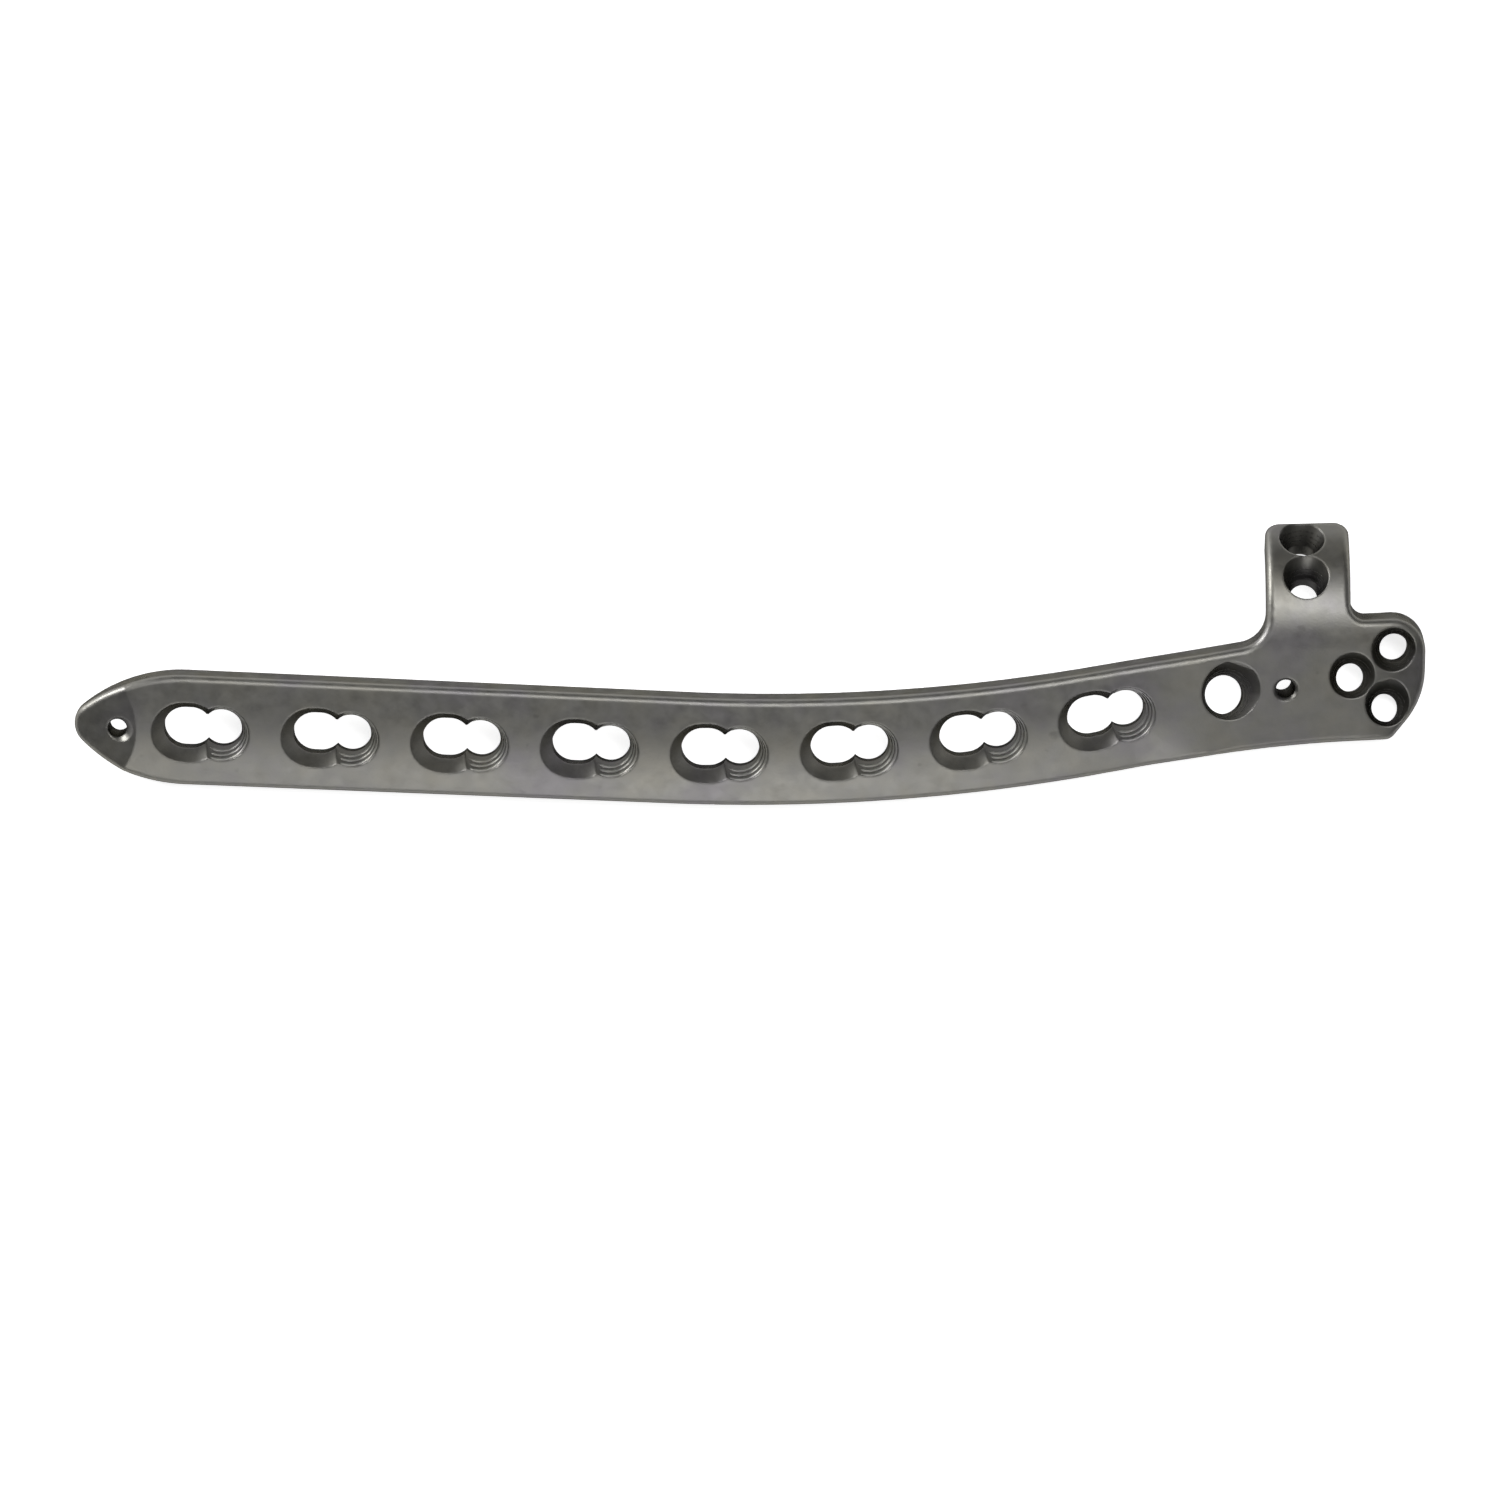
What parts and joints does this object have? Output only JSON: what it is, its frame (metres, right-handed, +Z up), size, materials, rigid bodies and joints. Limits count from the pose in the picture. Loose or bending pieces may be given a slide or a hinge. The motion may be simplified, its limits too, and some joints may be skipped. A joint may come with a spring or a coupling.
{
  "type": "orthopedic bone plate",
  "caption": "Pre-bent titanium bone plate for the lower upper arm: long bowed shaft with combination screw holes, pointed tip, holed head lobe and a down-turned side arm.",
  "frame": {"origin": "middle of the underside of the box round the plate as it lies on a table", "axes": "+X from the pointed tip towards the head, +Y towards the side arm, +Z up, away from the bone"},
  "size_m": [0.1356, 0.0284, 0.0073],
  "materials": {
    "titanium": "satin, blasted and anodised titanium"
  },
  "bodies": {
    "root": {"bone_plate": "titanium"}
  },
  "joints": []
}
